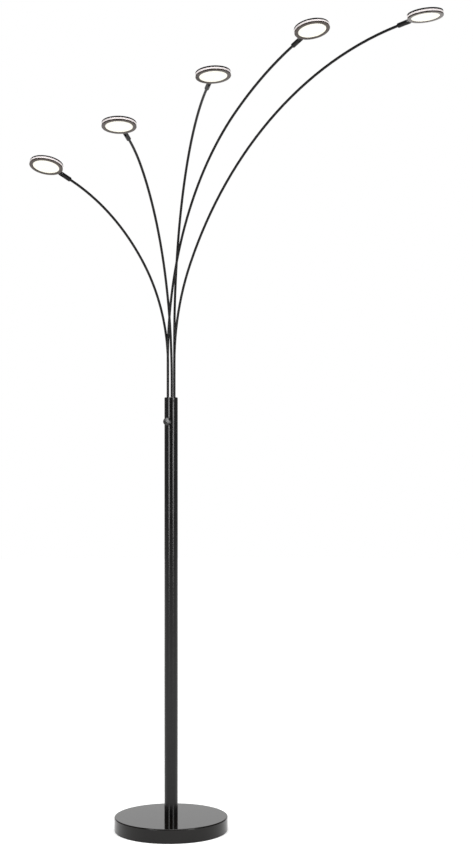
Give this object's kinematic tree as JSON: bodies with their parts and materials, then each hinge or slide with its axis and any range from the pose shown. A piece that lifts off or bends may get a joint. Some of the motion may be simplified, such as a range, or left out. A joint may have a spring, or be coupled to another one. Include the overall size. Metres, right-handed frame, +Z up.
{
  "type": "tree floor lamp",
  "caption": "Floor lamp with a round weighted base, a straight pole and arched arms of rising height that each end in a flat round LED head.",
  "frame": {"origin": "on the floor, at the centre of the base's underside, on the pole's axis", "axes": "+Z up along the pole; the arms fan out towards -Y, the side that the picture is taken from; +X is to the right in that view"},
  "size_m": [0.9662, 0.8011, 1.9768],
  "materials": {
    "base_enamel": "satin-gloss grey-black enamel",
    "cast_iron": "rough casting",
    "felt": "thin felt",
    "zinc_steel": "zinc plated",
    "black_steel": "blackened",
    "black_paint": "satin black paint",
    "black_gloss": "gloss black paint",
    "bezel_bronze": "gloss dark bronze",
    "nylon": "smooth",
    "black_plastic": "smooth",
    "lead_jacket": "smooth",
    "board_white": "white mask",
    "ring_acrylic": "pale translucent",
    "diffuser_white": "frosted white"
  },
  "bodies": {
    "lamp_stand": {"base_cover": "base_enamel", "base_weight": "cast_iron", "base_pad": "felt", "pole_nipple": "zinc_steel", "base_washer": "zinc_steel", "base_nut": "zinc_steel", "pole_foot_insert": "zinc_steel", "pole_tube": "black_paint", "arm_hub": "black_paint", "hub_set_screws": "black_steel", "arm_bushings": "nylon", "switch_body": "black_plastic", "switch_nut": "black_steel", "cord_bushing": "black_plastic", "led_driver": "black_plastic", "supply_lead": "lead_jacket"},
    "dimmer_knob": {"switch_shaft": "zinc_steel", "switch_knob": "black_plastic"},
    "arm_1": {"arm_tube_1": "black_paint", "knuckle_1": "black_gloss", "knuckle_pin_1": "zinc_steel"},
    "head_1": {"head_cover_1": "black_gloss", "led_board_1": "board_white", "light_ring_1": "ring_acrylic", "diffuser_1": "diffuser_white", "bezel_1": "bezel_bronze"},
    "arm_2": {"arm_tube_2": "black_paint", "knuckle_2": "black_gloss", "knuckle_pin_2": "zinc_steel"},
    "head_2": {"head_cover_2": "black_gloss", "led_board_2": "board_white", "light_ring_2": "ring_acrylic", "diffuser_2": "diffuser_white", "bezel_2": "bezel_bronze"},
    "arm_3": {"arm_tube_3": "black_paint", "knuckle_3": "black_gloss", "knuckle_pin_3": "zinc_steel"},
    "head_3": {"head_cover_3": "black_gloss", "led_board_3": "board_white", "light_ring_3": "ring_acrylic", "diffuser_3": "diffuser_white", "bezel_3": "bezel_bronze"},
    "arm_4": {"arm_tube_4": "black_paint", "knuckle_4": "black_gloss", "knuckle_pin_4": "zinc_steel"},
    "head_4": {"head_cover_4": "black_gloss", "led_board_4": "board_white", "light_ring_4": "ring_acrylic", "diffuser_4": "diffuser_white", "bezel_4": "bezel_bronze"},
    "arm_5": {"arm_tube_5": "black_paint", "knuckle_5": "black_gloss", "knuckle_pin_5": "zinc_steel"},
    "head_5": {"head_cover_5": "black_gloss", "led_board_5": "board_white", "light_ring_5": "ring_acrylic", "diffuser_5": "diffuser_white", "bezel_5": "bezel_bronze"}
  },
  "joints": [
    {"name": "dimmer_turn", "type": "hinge", "parent": "lamp_stand", "child": "dimmer_knob", "pos_m": [0, 0, 1.062], "axis": [-0.3746, -0.9272, 0], "range_deg": [-140, 140]},
    {"name": "arm_1_swivel", "type": "hinge", "parent": "lamp_stand", "child": "arm_1", "pos_m": [-0.0084, 0.0072, 1.125], "axis": [0, 0, 1], "range_deg": [-60, 15]},
    {"name": "arm_2_swivel", "type": "hinge", "parent": "lamp_stand", "child": "arm_2", "pos_m": [0.002, -0.00935, 1.125], "axis": [0, 0, 1], "range_deg": [-5, 15]},
    {"name": "arm_3_swivel", "type": "hinge", "parent": "lamp_stand", "child": "arm_3", "pos_m": [0.008, 0.0078, 1.125], "axis": [0, 0, 1], "range_deg": [-20, 10]},
    {"name": "arm_4_swivel", "type": "hinge", "parent": "lamp_stand", "child": "arm_4", "pos_m": [-0.0084, -0.00465, 1.125], "axis": [0, 0, 1], "range_deg": [-10, 15]},
    {"name": "arm_5_swivel", "type": "hinge", "parent": "lamp_stand", "child": "arm_5", "pos_m": [0.0086, -0.0038, 1.125], "axis": [0, 0, 1], "range_deg": [-30, 45]},
    {"name": "head_1_tilt", "type": "hinge", "parent": "arm_1", "child": "head_1", "pos_m": [-0.26023, -0.24639, 1.66883], "axis": [0.7393, -0.6616, 0.1256], "range_deg": [-45, 85]},
    {"name": "head_2_tilt", "type": "hinge", "parent": "arm_2", "child": "head_2", "pos_m": [-0.09291, -0.39868, 1.74135], "axis": [0.9744, -0.2178, 0.0561], "range_deg": [-45, 85]},
    {"name": "head_3_tilt", "type": "hinge", "parent": "arm_3", "child": "head_3", "pos_m": [0.10675, -0.46694, 1.84484], "axis": [0.9774, 0.2095, 0.0273], "range_deg": [-45, 85]},
    {"name": "head_4_tilt", "type": "hinge", "parent": "arm_4", "child": "head_4", "pos_m": [0.31586, -0.51363, 1.93559], "axis": [0.8422, 0.5391, 0.0066], "range_deg": [-45, 85]},
    {"name": "head_5_tilt", "type": "hinge", "parent": "arm_5", "child": "head_5", "pos_m": [0.55794, -0.57464, 1.96099], "axis": [0.7163, 0.6966, 0.0398], "range_deg": [-45, 85]}
  ]
}
